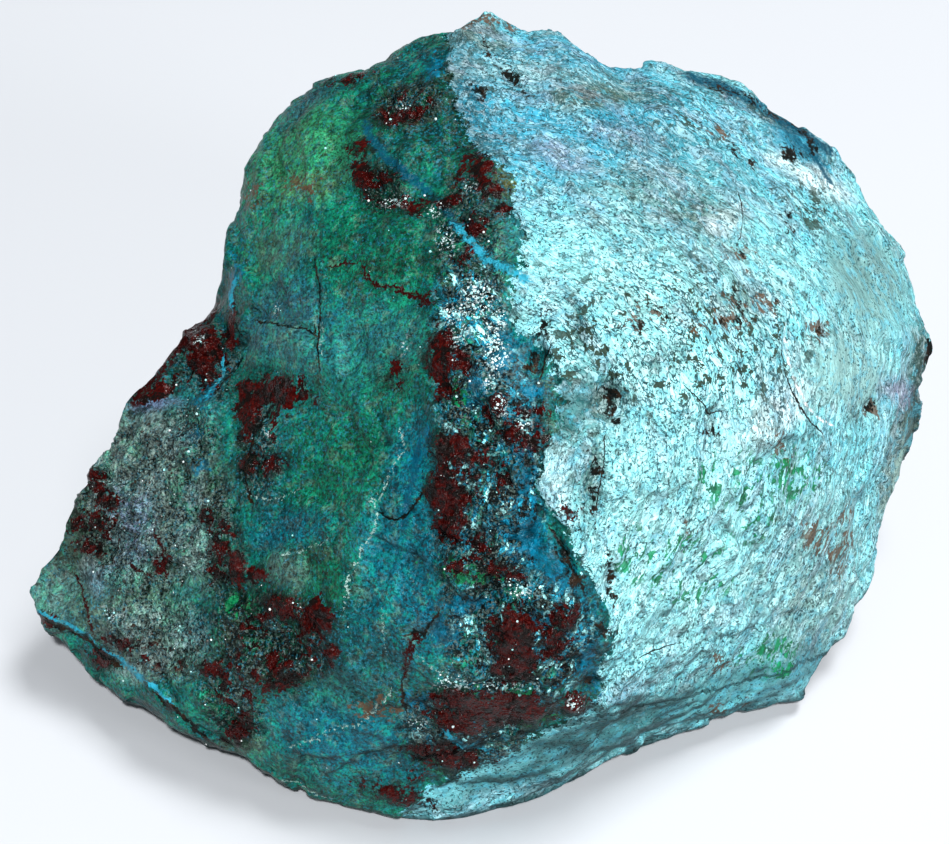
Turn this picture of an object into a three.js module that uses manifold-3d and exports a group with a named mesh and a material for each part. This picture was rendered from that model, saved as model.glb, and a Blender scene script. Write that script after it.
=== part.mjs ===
// Chrysocolla specimen: one rough, fist-sized stone, broken on its left and front and rounded on its right.
// Millimetres, +Z up. +X runs along the longest side, -Y is the broken front.

import * as THREE from 'three';
import { ConvexHull } from 'three/addons/math/ConvexHull.js';
import { ImprovedNoise } from 'three/addons/math/ImprovedNoise.js';
import { mergeVertices } from 'three/addons/utils/BufferGeometryUtils.js';
import Module from 'manifold-3d';

// ---------- driving dimensions ----------

const STONE_WIDTH = 122; // overall size along X; the whole stone follows it
const FACET_STEPS = 5; // each facet between three corners is split this many times along an edge
const WEAR_PASSES = 3; // rounds of wear that soften the corners and edges
const WEAR_STRENGTH = 0.55; // how far one round moves a point towards the middle of its neighbours
const CRISP_REACH = 6; // wear fades out this close to a broken edge
const SWELL_HEIGHT = 0.5; // gentle unevenness of the skin, and the distance from swell to swell
const SWELL_LENGTH = 11;
const RIPPLE_HEIGHT = 0.25; // finer unevenness on top of it
const RIPPLE_LENGTH = 5;
const HEART = new THREE.Vector3(0, 2, 32); // a point deep inside, from which every corner is in sight

// ---------- the corners of the stone, as lines and patches of [x, y, z] ----------

// The skyline over the top, from the notch on the left round to the low right end.
const SKYLINE = [
  [-33, 16, 44], [-32.5, 23, 49.5], [-31, 30, 54], [-25, 38, 59], [-19, 41, 62], [-11, 41.5, 65.5], [-2, 41.5, 68],
  [1.5, 42, 70], [6, 41.5, 67.5], [11, 42, 68], [17, 40, 62.5], [23, 42, 64], [36, 42.5, 58.5], [46, 39.5, 53],
  [51.5, 36, 47], [57.5, 31, 40], [60, 25, 34], [62.5, 22, 30], [60.5, 21, 25], [62, 19.5, 22], [60, 15.5, 17.5],
  [57, 10, 14], [54.5, 4, 10.5], [52.5, -4.5, 7], [48, -11, 4.5], [44, -17, 1.5],
];

// The low front edge, from the right round to where the ledge begins.
const TOE = [
  [34.5, -20.5, 3], [26.5, -23.5, 3], [16, -28.5, 3], [7, -33, 2], [-2.5, -35.5, 2], [-11, -36, 1.5], [-19, -34.5, 3],
  [-26.5, -31.5, 5], [-32.5, -30, 9],
];

// The sharp rim of the ledge at the left, out to the tip of the stone and back up to the notch.
const LEDGE_RIM = [
  [-39, -25.5, 12], [-48.5, -16.5, 13], [-55.5, -12.5, 13], [-58.5, -8.5, 14], [-57, -7, 16.5], [-53.5, -5, 21],
  [-49, 2, 27], [-44, 7.5, 33], [-38, 13, 38],
];

// The ridge between the dark broken faces and the pale dome, from the crest down to the front.
const MAIN_RIDGE = [
  [-3, 31, 69.5], [0, 16, 67.5], [5.5, 6.5, 68], [3.5, 3.5, 66.5], [5.5, -6.5, 64.5], [8, -19.5, 57.5],
  [8.5, -26.5, 51.5], [11.5, -31.5, 43.5], [15.5, -33.5, 32.5],
];

// The smooth green face to the left of the ridge, with the hollow of the notch beside it.
const GREEN_FACE = [
  [-18, 22, 62.5], [-9, 23, 66.5], [-23, 17, 57], [-9, 6.5, 63.5], [-18, 3.5, 54.5], [-5.5, -5, 60], [-25.5, 5.5, 47.5],
  [-19, -1.5, 50.5], [-30, 8.5, 40.5], [-34.5, 5.5, 36], [-21, -9.5, 43.5], [-11, -13, 51.5], [-4, -20.5, 52],
  [-8.5, -23.5, 45.5], [-11, -28, 38.5], [-16, -29.5, 32], [-21, -18.5, 37],
];

// The lobe that reaches out to the left tip, above the ledge.
const LOBE = [
  [-30.5, -9.5, 35], [-38.5, -1, 33.5], [-45.5, -4, 26], [-37, -14.5, 26], [-27.5, -23, 27.5], [-49.5, -8.5, 18],
  [-39.5, -21, 18], [-31.5, -27.5, 16.5],
];

// The steep front, below the green face and left of the ridge.
const FRONT_FACE = [
  [-26.5, -31.5, 11], [-17.5, -34, 17.5], [-9, -34.5, 24], [0.5, -37, 25.5], [-5, -34, 33], [-0.5, -32, 41],
  [0.5, -25.5, 51], [-0.5, -16.5, 58], [9, -35.5, 34.5], [8, -36.5, 25], [-5.5, -35, 10],
];

// The step above the low lip that runs along the front to the right.
const LIP_STEP = [[15, -34, 22], [18, -32, 27], [24.5, -27, 25], [28.5, -24.5, 12.5]];

// The rounded pale dome.
const DOME = [
  [10.5, 19.5, 68.5], [22, 22, 65.5], [34, 25, 60], [15, 2.5, 66.5], [27, 5.5, 62.5], [40.5, 11.5, 54.5], [14.5, -11.5, 63],
  [26.5, -10, 60], [39.5, -2, 51.5], [50.5, 9.5, 43], [19, -21, 54.5], [31.5, -15.5, 49], [44, -5, 39.5],
  [20.5, -26, 43], [32, -20, 36.5], [43.5, -10.5, 29], [35.5, -20, 20.5], [53.5, 6.5, 28.5], [50, -1, 23],
];

// The back, which bulges a little below the skyline and then draws in.
const BACK = [
  [-40, 24, 20], [-28, 40, 44], [-20, 46, 22], [8, 47, 60], [0, 51, 42], [8, 52, 18], [28, 50, 42], [40, 44, 20], [52, 38, 38],
  [56, 28, 18], [-8, 40, 6], [30, 36, 6], [-34, 26, 6],
];

// The hollow undersides of the ledge and of the right end.
const UNDERCUTS = [
  [-55, -12, 7], [-49, -18.5, 6], [-42, -23, 5], [-50, 8, 12], [48, -3, 6], [53, 10, 9],
];

// The foot, a little lower than the cut that gives the stone its flat rest.
const FOOT = [
  [-4, -35, -1], [14, -24, -1], [35, -13, -1], [42, 4, -1], [34, 26, -1], [8, 32, -1], [-20, 26, -1], [-38, 10, -1],
  [-38, -8, -1], [-24, -26, -1], [0, 0, -1],
];

const CORNERS = [
  SKYLINE, TOE, LEDGE_RIM, MAIN_RIDGE, GREEN_FACE, LOBE, FRONT_FACE, LIP_STEP, DOME, BACK, UNDERCUTS, FOOT,
].flat().map((corner) => new THREE.Vector3(...corner));

// Edges that broke recently and are still sharp.
const CRISP_LINES = [LEDGE_RIM, MAIN_RIDGE.slice(4), LIP_STEP];

// ---------- shape ----------

// The corners, seen from the heart of the stone, are joined into triangular facets that cover it once.
function joinCornersIntoFacets(corners) {
  const sights = corners.map((corner) => corner.clone().sub(HEART).normalize());
  const cornerOf = new Map(sights.map((sight, i) => [sight, corners[i]]));
  const hull = new ConvexHull().setFromPoints(sights);
  return hull.faces.map((face) => {
    const first = face.edge;
    return [first, first.next, first.next.next].map((edge) => cornerOf.get(edge.head().point));
  });
}

// Each facet becomes a grid of small triangles; neighbours share the points along their edge.
function splitFacets(facets) {
  const positions = [];
  const pointOn = ([a, b, c], i, j) => new THREE.Vector3()
    .addScaledVector(a, (FACET_STEPS - i - j) / FACET_STEPS)
    .addScaledVector(b, i / FACET_STEPS)
    .addScaledVector(c, j / FACET_STEPS);
  for (const facet of facets) {
    const addTriangle = (...steps) => {
      for (const [i, j] of steps) positions.push(...pointOn(facet, i, j).toArray());
    };
    for (let i = 0; i < FACET_STEPS; i++) {
      for (let j = 0; j < FACET_STEPS - i; j++) {
        addTriangle([i, j], [i + 1, j], [i, j + 1]);
        if (i + j < FACET_STEPS - 1) addTriangle([i + 1, j], [i + 1, j + 1], [i, j + 1]);
      }
    }
  }
  const loose = new THREE.BufferGeometry();
  loose.setAttribute('position', new THREE.Float32BufferAttribute(positions, 3));
  return mergeVertices(loose, 1e-3);
}

function distanceToLines(point, lines) {
  const nearest = new THREE.Vector3();
  let distance = Infinity;
  for (const line of lines) {
    for (let i = 0; i < line.length - 1; i++) {
      const side = new THREE.Line3(new THREE.Vector3(...line[i]), new THREE.Vector3(...line[i + 1]));
      side.closestPointToPoint(point, true, nearest);
      distance = Math.min(distance, nearest.distanceTo(point));
    }
  }
  return distance;
}

function neighboursOf(geometry) {
  const neighbours = Array.from({ length: geometry.attributes.position.count }, () => new Set());
  const index = geometry.index.array;
  for (let i = 0; i < index.length; i += 3) {
    for (let k = 0; k < 3; k++) {
      neighbours[index[i + k]].add(index[i + (k + 1) % 3]);
      neighbours[index[i + (k + 1) % 3]].add(index[i + k]);
    }
  }
  return neighbours;
}

// Wear rounds the old skin and leaves the freshly broken edges sharp.
function wearDown(geometry) {
  const position = geometry.attributes.position;
  const neighbours = neighboursOf(geometry);
  const points = neighbours.map((_, i) => new THREE.Vector3().fromBufferAttribute(position, i));
  const softness = points.map((point) => Math.min(1, distanceToLines(point, CRISP_LINES) / CRISP_REACH));
  for (let pass = 0; pass < WEAR_PASSES; pass++) {
    const middles = neighbours.map((near) => {
      const middle = new THREE.Vector3();
      near.forEach((j) => middle.add(points[j]));
      return middle.divideScalar(near.size);
    });
    points.forEach((point, i) => point.lerp(middles[i], WEAR_STRENGTH * softness[i]));
  }
  points.forEach((point, i) => position.setXYZ(i, point.x, point.y, point.z));
}

// Two sizes of swell push the skin in and out along the line from the heart.
function unevenSkin(geometry) {
  const noise = new ImprovedNoise();
  const position = geometry.attributes.position;
  const point = new THREE.Vector3();
  const outward = new THREE.Vector3();
  for (let i = 0; i < position.count; i++) {
    point.fromBufferAttribute(position, i);
    outward.copy(point).sub(HEART).normalize();
    const swell = SWELL_HEIGHT * noise.noise(...point.clone().divideScalar(SWELL_LENGTH).toArray());
    const ripple = RIPPLE_HEIGHT * noise.noise(...point.clone().divideScalar(RIPPLE_LENGTH).toArray());
    point.addScaledVector(outward, swell + ripple);
    position.setXYZ(i, point.x, point.y, point.z);
  }
}

// ---------- the flat rest ----------

const wasm = await Module();
wasm.setup();

function toSolid(geometry) {
  const merged = mergeVertices(geometry, 1e-4);
  return new wasm.Manifold(new wasm.Mesh({
    numProp: 3,
    vertProperties: new Float32Array(merged.attributes.position.array),
    triVerts: new Uint32Array(merged.index.array),
  }));
}

function toGeometry(solid) {
  const mesh = solid.getMesh();
  const geometry = new THREE.BufferGeometry();
  geometry.setAttribute('position', new THREE.Float32BufferAttribute(mesh.vertProperties, 3));
  geometry.setIndex([...mesh.triVerts]);
  return geometry;
}

function cutFlatBelow(geometry, size) {
  const block = new THREE.BoxGeometry(2 * size, 2 * size, size);
  block.translate(0, 0, -size / 2);
  block.deleteAttribute('normal');
  block.deleteAttribute('uv');
  return toGeometry(toSolid(geometry).subtract(toSolid(block)));
}

// ---------- the stone ----------

function makeStone() {
  const rough = splitFacets(joinCornersIntoFacets(CORNERS));
  wearDown(rough);
  unevenSkin(rough);
  const stone = cutFlatBelow(rough, STONE_WIDTH);
  stone.computeBoundingBox();
  const { min, max } = stone.boundingBox;
  stone.translate(-(min.x + max.x) / 2, -(min.y + max.y) / 2, -min.z);
  const scale = STONE_WIDTH / (max.x - min.x);
  stone.scale(scale, scale, scale);
  stone.computeVertexNormals();
  return stone;
}

const skin = new THREE.MeshStandardMaterial({ color: 0x4fa7a4, roughness: 0.55, metalness: 0 });
const stone = new THREE.Mesh(makeStone(), skin);
stone.name = 'chrysocolla_stone';

const specimen = new THREE.Group();
specimen.add(stone);

export default specimen;
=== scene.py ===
"""Chrysocolla specimen: the looks of one rough stone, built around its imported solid.

Lengths in the lists below are millimetres. A mark on the show side is placed by two numbers: how far
right of the middle it is, and how far up the show side it is, measured square to the display direction.
"""

import math

import bmesh
import bpy
import numpy as np
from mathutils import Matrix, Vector


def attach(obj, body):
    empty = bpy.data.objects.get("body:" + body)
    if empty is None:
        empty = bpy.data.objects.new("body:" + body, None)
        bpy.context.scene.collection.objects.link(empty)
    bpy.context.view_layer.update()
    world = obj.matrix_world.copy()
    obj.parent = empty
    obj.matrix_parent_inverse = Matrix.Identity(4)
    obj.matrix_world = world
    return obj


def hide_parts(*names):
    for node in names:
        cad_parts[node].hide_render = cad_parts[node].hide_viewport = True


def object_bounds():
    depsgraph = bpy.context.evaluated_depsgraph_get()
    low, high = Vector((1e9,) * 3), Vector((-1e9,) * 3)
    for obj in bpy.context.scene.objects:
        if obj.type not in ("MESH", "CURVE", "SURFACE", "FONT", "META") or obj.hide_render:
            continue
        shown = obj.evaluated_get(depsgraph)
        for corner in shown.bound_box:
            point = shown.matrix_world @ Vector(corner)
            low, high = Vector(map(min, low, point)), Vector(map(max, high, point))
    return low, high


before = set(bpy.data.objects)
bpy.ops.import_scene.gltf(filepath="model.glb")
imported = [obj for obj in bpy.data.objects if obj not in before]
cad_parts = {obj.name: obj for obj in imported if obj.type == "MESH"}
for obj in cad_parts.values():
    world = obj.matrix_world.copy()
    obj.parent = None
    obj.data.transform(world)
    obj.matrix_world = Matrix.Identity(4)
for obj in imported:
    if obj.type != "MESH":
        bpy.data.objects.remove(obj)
cad_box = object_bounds()

NODE = "chrysocolla_stone"
MM = 0.001
DISPLAY_TILT = math.radians(43)  # the show side is looked down on at this angle
ACROSS = np.array([1.0, 0.0, 0.0])
UPWARD = np.array([0.0, math.sin(DISPLAY_TILT), math.cos(DISPLAY_TILT)])
OUTWARD = np.array([0.0, -math.cos(DISPLAY_TILT), math.sin(DISPLAY_TILT)])
FINE_CUTS = 4  # each edge of the solid is cut this many times for the fine skin

# ---------- colours, as sRGB hex ----------

COLOURS = {
    "deep green": "063F30", "malachite": "0C6C4C", "light green": "37935E", "fresh green": "0A8450",
    "emerald": "066048", "teal": "04545E", "blue teal": "04667A", "sea green": "0C6258",
    "grey teal": "2F6F70", "slate": "365A66", "azure": "02647F", "vivid blue": "007A9E",
    "vein blue": "034C62", "steel blue": "2A8CA8", "sky": "2CA4C0", "vein teal": "2C9498",
    "turquoise": "50BCD6", "top blue": "389EBC", "pale turquoise": "82DEE8", "ice": "A8F4F6",
    "chalk": "DCF8FA", "lilac": "8098C0", "mauve": "8C93AC", "blood": "2F0504", "rust": "4E0F0A",
    "umber": "2C1D10", "olive": "56592C", "grey green": "5C7A74", "drab": "5B6A5A", "dark skin": "34483E",
    "gap grey": "1C4348", "near black": "060F0D", "sage": "96B8B0", "lobe grey": "A8C2C0", "tan": "5E4632",
    "white": "FFFFFF",
}


def linear(name, alpha=1.0):
    """A named colour as linear RGBA."""
    raw = [int(COLOURS[name][i:i + 2], 16) / 255 for i in (0, 2, 4)]
    return [c / 12.92 if c <= 0.04045 else ((c + 0.055) / 1.055) ** 2.4 for c in raw] + [alpha]


# ---------- where the colours lie on the show side ----------

# The border of the pale crust, from the crest down to the toe. The crust is on its right.
CRUST_BORDER = [
    (-6, 80), (-5, 70), (-4.6, 66), (-4, 62), (-2.6, 58), (-1, 55.5), (1.5, 53), (3.8, 51.6), (3, 49),
    (2.6, 47), (3.8, 44), (4.4, 40), (2.8, 38), (3, 35), (3.6, 33), (5.4, 31.4), (7.4, 29.4), (8.2, 26.5),
    (8.8, 24), (8.6, 21.4), (6.6, 18.6), (5.8, 15), (6.4, 12.4), (8, 10.4), (10, 8), (11.4, 5.5), (12.6, 3),
    (14.4, 0), (15, -2.5), (14.6, -5), (13.2, -8), (14, -11), (12, -13.2), (8, -15.6), (3, -18.6),
    (-1, -20.6), (-4, -22.6), (-8, -25), (-12, -30),
]

# Soft areas of colour: right, up, half width, half height, turn in degrees if it is turned, colour,
# strength. Later ones lie over earlier ones.
BROKEN_TONES = [
    (-24, 56.5, 8, 6.4, 30, "light green", 0.75), (-29.6, 47, 2.6, 8, "malachite", 0.8),
    (-22, 51.4, 5, 1.6, 5, "olive", 0.5), (-11, 63, 9, 7, 10, "deep green", 0.85),
    (-4, 56, 4, 12, 10, "deep green", 0.8), (-9, 62, 6, 5, 10, "near black", 0.4),
    (-24.5, 63, 5, 1.8, 40, "slate", 0.8), (-8, 68.5, 4, 2, "teal", 0.7), (-13, 44, 9, 8, "emerald", 0.9),
    (-5, 38, 4, 6, "deep green", 0.8), (-26, 44, 4, 3, "drab", 0.35), (-15, 31, 8, 5, "grey teal", 0.6),
    (-22, 33, 3, 5, "teal", 0.7), (-25.5, 35, 4.5, 4.5, "slate", 0.7), (-12, 22, 8, 6, "malachite", 0.5),
    (-29, 33, 2.6, 3, "slate", 0.7), (-26, 31, 6, 2.5, "grey teal", 0.6), (-27, 15, 2.4, 5, "teal", 0.8),
    (-19, 15, 7, 6, "malachite", 0.7), (-24, 8.5, 5, 2.2, 8, "blue teal", 0.8),
    (-19, 3.5, 5, 4, 20, "malachite", 0.85), (-24, 3.5, 3, 2.2, "grey green", 0.7),
    (-9, 4, 7, 9, "blue teal", 0.9), (-9, 17, 3, 6, "blue teal", 0.8), (-14, -6, 6, 5, "teal", 0.8),
    (-20, -11, 8, 4, 20, "grey teal", 0.5), (-17, -18, 10, 5, -10, "blue teal", 0.85),
    (-5, -1.6, 4, 3, 20, "azure", 0.7), (3.6, 9, 2.6, 8, 10, "azure", 0.75),
    (-1.4, 12, 1.4, 5, 5, "vein teal", 0.7), (-0.6, 3.4, 4, 1.8, -15, "vein teal", 0.7),
    (9, 3, 3, 5, 35, "azure", 0.8), (11, -4, 3.6, 6, 10, "teal", 0.85), (0, 25, 2.2, 3, "blue teal", 0.8),
    (4, 28, 3, 5, "blue teal", 0.7), (5, 21, 3, 4, "slate", 0.5),
    (-3.4, 23.6, 1.4, 3, 15, "malachite", 0.8), (-44, 12, 9, 11, 20, "lobe grey", 0.9),
    (-52, 10, 2.6, 6, 20, "umber", 0.5), (-45.4, 8, 3.4, 6, 15, "lilac", 0.85),
    (-51, 2.2, 2.6, 2.4, -20, "lobe grey", 1), (-48.6, 1.6, 3, 2.6, "lilac", 0.9),
    (-40.6, 9, 2.4, 4, 10, "drab", 0.6), (-56, -0.5, 4, 4, "grey teal", 0.7),
    (-56, 3.5, 3, 2, 40, "dark skin", 0.6), (-44, -1, 4, 3, "light green", 0.45),
    (-44, -4, 6, 3, "lobe grey", 0.7), (-38.4, 13, 1.6, 8, -4, "slate", 0.8),
    (-39, 19, 1.4, 2.6, "steel blue", 0.5), (-34, 12, 1.6, 7, "deep green", 0.6),
    (-41, 5, 3, 3, "drab", 0.4), (-31, -1, 2, 2, "malachite", 0.9), (-37, -6, 2, 3, "sky", 0.4),
    # The near-black areas low on the broken face, at (-2, -13), (-4, -20), (1, -12) and (-5, -19.6), are
    # partly dark rock and partly painted shade that darkens the lower part.
    (-42, -8, 6, 3, 10, "lobe grey", 0.7), (-2, -13, 9, 4, "near black", 0.65),
    (-4, -20, 7, 3.5, -12, "near black", 0.6), (2.4, 44.4, 2.2, 3.6, "grey teal", 0.9),
    (2.6, 51, 1.8, 2.4, "olive", 0.9), (-38, 25, 3, 2.6, "vein teal", 0.6),
    (-43, 23.6, 3.4, 1, 15, "lilac", 0.9), (-36.4, 32, 3, 6, 20, "teal", 0.8),
    (-27, -5, 8.4, 6.4, -12, "near black", 0.7), (-35.6, 25.4, 2.4, 3.4, -40, "vein teal", 0.55),
    (-57.4, -1, 5, 5, 20, "grey green", 0.7), (-54, 9, 3, 7, 25, "drab", 0.6), (-46, 17, 4, 4, "drab", 0.5),
    (-47, 1, 4, 3, "light green", 0.35), (-40, 15, 2, 3, "drab", 0.3), (-50, -3, 4, 2.4, "drab", 0.5),
    (-31.6, -20, 3, 2, 30, "drab", 0.6), (1.4, 29.6, 2.4, 3.6, "azure", 0.9),
    (-1, 36, 2.4, 2.2, "slate", 0.8), (1.6, 18, 1.6, 3.4, "steel blue", 0.5),
    (-2, 21.6, 2, 1.8, "deep green", 0.7), (6.6, 26, 1.6, 2, "slate", 0.6),
    (1, -12, 8, 2.6, -3, "near black", 0.6), (-5, -19.6, 6, 3, -10, "near black", 0.5),
]
CRUST_TONES = [
    # The shaded top blue darkens the top of the dome: partly bluer crust, partly painted shade. The vein-blue
    # stripe beside the crust's border at the top is painted shade.
    (8, 62, 17, 13, "top blue", 0.95), (-2, 62, 2.2, 9, 14, "vein blue", 0.65),
    (8, 66, 12, 2, -6, "sage", 0.5), (-0.6, 72, 4, 2.4, -20, "drab", 0.75), (-3, 69, 2.2, 3, "slate", 0.6),
    (22, 48, 9, 3.4, -20, "drab", 0.62), (26.6, 47, 2.6, 3, "drab", 0.55), (22, 35, 10, 2.6, "drab", 0.45),
    (32, 36.6, 4, 1.6, "drab", 0.45), (17.5, 43.2, 1.8, 3.6, 25, "slate", 0.7),
    (41, 59.2, 5, 2.6, -30, "azure", 1), (44.8, 55.8, 3, 2, -45, "azure", 0.9),
    (30, 59, 15, 8, -15, "top blue", 0.5), (13.5, 63, 6, 1.8, 5, "olive", 0.85),
    (9, 54.5, 4, 1.8, -25, "mauve", 0.7), (17, 57.4, 4.4, 1.3, -8, "mauve", 0.75),
    (21, 53, 4, 2, -20, "mauve", 0.5), (12.6, 47, 1.8, 1.6, "mauve", 0.6),
    (20, 64.5, 6, 2.4, -10, "grey teal", 0.45), (12, 36, 10, 12, "ice", 0.6), (22, 18, 11, 16, "ice", 0.7),
    (44, 53, 5, 1.9, -12, "chalk", 0.95), (38.5, 55.6, 2, 1, "chalk", 0.8),
    (30, 46.8, 2.3, 1.8, "chalk", 0.8), (46, 28, 8, 5.4, "sage", 0.75),
    (34.6, 22.2, 5.4, 2.4, 38, "chalk", 0.9), (37.6, 16.4, 1.4, 2.4, 15, "olive", 0.4),
    (35, 25.6, 2.2, 3, 15, "mauve", 0.4), (50, 40, 7, 7, -30, "sage", 0.75), (41, 5, 9, 10, "sage", 0.5),
    (44, -4, 8, 6, "sage", 0.5), (22, 6, 12, 16, "ice", 0.85), (35, 63.8, 10, 1.2, -22, "gap grey", 0.95),
    (21, 29, 2.2, 1.8, "drab", 0.45), (26, 53, 11, 6, -25, "grey teal", 0.35),
    (54, 25.5, 2.2, 1.8, "mauve", 0.8), (10.2, 23.4, 3.2, 5.4, -35, "grey teal", 0.95),
    (14.4, 24, 1.9, 2.6, 10, "dark skin", 0.85), (12.4, 15, 0.9, 4.4, "drab", 0.85),
    (10, 32.5, 1.2, 3.4, 22, "grey teal", 0.9), (9, 20.5, 2, 1.6, "grey teal", 0.7),
    (8, 14.5, 1.8, 4.4, 8, "chalk", 0.6), (11.5, 14, 1.8, 5, "grey teal", 0.5),
    (37, -8, 3.4, 2.6, "fresh green", 0.35), (28, -13, 17, 3.4, 12, "grey teal", 0.62),
    (12, -18.6, 13, 3, 18, "grey teal", 0.72), (2, -24, 7, 2, 15, "grey teal", 0.65),
    (42, -10, 3.6, 3, 50, "slate", 0.6), (17, -11, 3, 1.6, 20, "mauve", 0.4),
    (57.5, 20, 3.4, 12, -4, "dark skin", 1), (55, 14, 2.6, 7, -10, "sage", 0.8),
    (59, 31, 2, 4, "dark skin", 0.9), (55.4, 25.4, 1.8, 1.6, "mauve", 0.8),
    (50, 42, 7, 9, 38, "grey teal", 0.4), (30, 40, 10, 5, "sage", 0.35),
]

# Grains and patches with a clear edge: right, up, half width, half height, turn in degrees if turned.
BLOOD_PATCHES = [
    (-17.5, 67, 1.6, 0.5, 15), (-16, 56.2, 1.2, 0.7, 10), (-15.6, 52.6, 2.9, 0.9, -58),
    (-9.6, 48.3, 3, 0.8, -12), (-10.5, 60.6, 3, 1.2, 8), (-5.4, 48.4, 1.6, 0.8), (-1.2, 53, 1.2, 2.6, 30),
    (0.4, 49.6, 1.5, 0.9, -20), (1.8, 47.5, 0.7, 0.8), (-1.3, 45.4, 1.2, 1.3), (-2.6, 41.2, 1, 0.9),
    (-7.5, 36.4, 0.9, 0.6), (-5.5, 29.6, 1.8, 3, -4), (-3, 28.4, 1.2, 1.3), (-5.5, 25.5, 1.2, 1),
    (-10.8, 28, 0.7, 0.8), (-11.2, 26.2, 0.5, 0.3), (1, 23.5, 1.1, 1.5), (2.8, 20.5, 1.3, 1.1),
    (6.5, 23.3, 0.8, 0.8), (5.8, 20, 0.7, 1.3), (-4.2, 18.6, 2.3, 2.2), (-4.8, 13.2, 2.3, 3.2, 12),
    (-5, 9.8, 1.3, 1.8, 10), (-1, 17.2, 1.4, 1), (1.5, 15.2, 0.6, 1), (-0.8, 7.7, 1, 1.2),
    (-4.3, 5, 0.9, 0.8), (1.7, 4.2, 1.7, 0.5, -8), (9.7, 11, 0.7, 0.7), (3, -3.2, 2.6, 3),
    (3.4, -6.8, 3.2, 2.8), (8.4, -1.2, 1.2, 1), (7.6, -4.2, 1.2, 1.8, 20), (10.5, -12.6, 1.6, 1.5),
    (-4, -11.6, 3.2, 1.5, 8), (1.5, -13, 6.5, 2.2, -3), (-4, -14.6, 3.4, 1.6, -6),
    (-5, -19.6, 4.2, 1.5, -8), (-9, -22.6, 1, 0.8), (-12, -25, 3.5, 1, -18), (-36.9, 30.6, 2.4, 4, 20),
    (-38.6, 33.6, 1.4, 2.2, 45), (-42.8, 25.6, 3, 1.4, 38), (-33.3, 33.2, 0.9, 3.2, -6),
    (-37, 35.6, 2, 0.7, 48), (-26.8, 25.6, 4.8, 1.9, -3), (-30.2, 23.4, 1.6, 3, 5), (-29.5, 16.6, 1.5, 1.2),
    (-26.6, 16.6, 1.4, 0.8), (-33.1, 8.4, 1.4, 0.8), (-33.4, 6, 1.2, 1.7), (-34.1, 3, 0.8, 1.3),
    (-31, 3.4, 1.2, 2.1), (-28.2, 3, 1.1, 0.8), (-20.6, -2.2, 2, 2.4), (-24.5, -1, 2.6, 1.2, -10),
    (-19, -6.4, 1, 1.1), (-26, -8, 1.1, 1), (-25, -10.2, 2.2, 1, 20), (-34.6, -9.2, 1.4, 1.1),
    (-31.4, -17.2, 2.6, 1.2, 50), (-51.2, 13.6, 1.2, 2.4, 25), (-49.2, 11.4, 1.4, 0.9),
    (-53.2, 8.4, 1.2, 0.8, 30), (-50.8, 8.2, 0.8, 1.4), (-52, 5.2, 1.6, 0.8, -10), (-41.3, 4, 0.9, 0.9),
    (-47, -6.6, 2, 0.7, -5), (-57, -4.6, 1.2, 0.9, -30), (-50, -9.2, 1.6, 1.2), (-35, 10.2, 0.9, 1),
    (-12.6, 52.2, 1, 0.6),
]
# Fields of loose dark red grains rather than solid patches.
BLOOD_SPECKLES = [
    (-25, -5, 7.5, 5.5, -12), (-31, -11, 4.5, 5.5, 25), (-10, 62, 5, 3.5), (-28, 22, 4.5, 4.5),
    (-4, 14, 3.5, 6.5), (8, -3, 4, 5), (3.5, 21, 3.5, 3.5), (-15.6, 53.6, 2.4, 3, -40),
    (-50, 8, 3.5, 6, 20), (-42, -8, 7, 2.6, -8), (-2, 51, 3.5, 4), (-1, 6, 3, 4), (-40, 30, 4, 5, 40),
]
BLUE_PATCHES = [
    (-1.4, 25.6, 1.3, 1.9, 8), (5.2, 25.2, 1.4, 1.1, 10), (4.2, 14.4, 0.8, 2.2), (4.6, 8, 1.6, 3, 10),
    (7.6, 4.6, 1.2, 2.2, 35), (-1.6, 0.4, 2.4, 1, 5), (-5.4, -3, 1.2, 1.4, 30), (11.6, -6, 1, 2.4, 5),
    (12.4, -9.4, 1, 1.6), (1.6, 28.8, 1.6, 1.4, -30), (-8.4, -12.2, 1.4, 1.2), (3.4, 17.4, 1.2, 0.8),
    (-32.6, 41.4, 0.6, 2.2, -20), (-35.8, 25.6, 0.9, 1.8, -45), (-8, 18, 0.6, 2, -8), (6.4, -1.2, 1.6, 0.8),
    (-37, 20.4, 0.8, 0.9), (-36.6, 16.4, 0.9, 0.7), (-6.6, 67, 1, 1.6),
]
GREEN_PATCHES = [
    (-3.3, 24.4, 0.8, 2.2, 15), (-1.6, 4.2, 3, 1, -10), (37.2, -7.6, 2.2, 1.4, 10), (38.4, -10, 1.4, 1.6),
    (5, -14.4, 2, 0.6, 5), (2.4, -10.6, 1.7, 0.6), (-31, -0.6, 1.3, 1.3),
]
GREEN_SPECKLES = [
    (29, 15, 6, 4), (24, 4, 8, 5, -20), (38, 15, 6, 4), (36, -8, 5, 4), (32, 10, 4, 4), (18, 6, 4, 4),
]
TAN_PATCHES = [
    (-24.2, 52.2, 1.8, 1.2), (-31, 51.4, 1.2, 0.9), (-13.6, -13.4, 2, 0.9, 5), (42, 7, 2.6, 1.8, -10),
    (46.6, 4.4, 1.5, 2.6, -20), (46.6, 9.6, 1, 0.8), (17.4, 33.2, 1.2, 0.8, -30), (20, 34.6, 1.2, 0.4, -15),
    (27.6, 33.6, 2, 0.6, 10), (29.4, 36.4, 0.9, 0.7), (33.6, 36.2, 1, 0.7, -30), (30.2, 59.4, 0.8, 0.5),
    (31, 42.6, 1.2, 0.8, -20), (24, 8.6, 0.5, 0.5), (29, -9, 1.2, 0.9), (36.2, 18, 0.9, 1.8, 20),
    (30.6, -15.6, 1.4, 0.5, 10), (41.4, 33.2, 1.3, 1.1), (49.8, 23.6, 1.1, 0.9),
    (-29, -23.2, 1.8, 0.5, -15), (-1, 74, 3, 0.8, -12),
]
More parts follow.
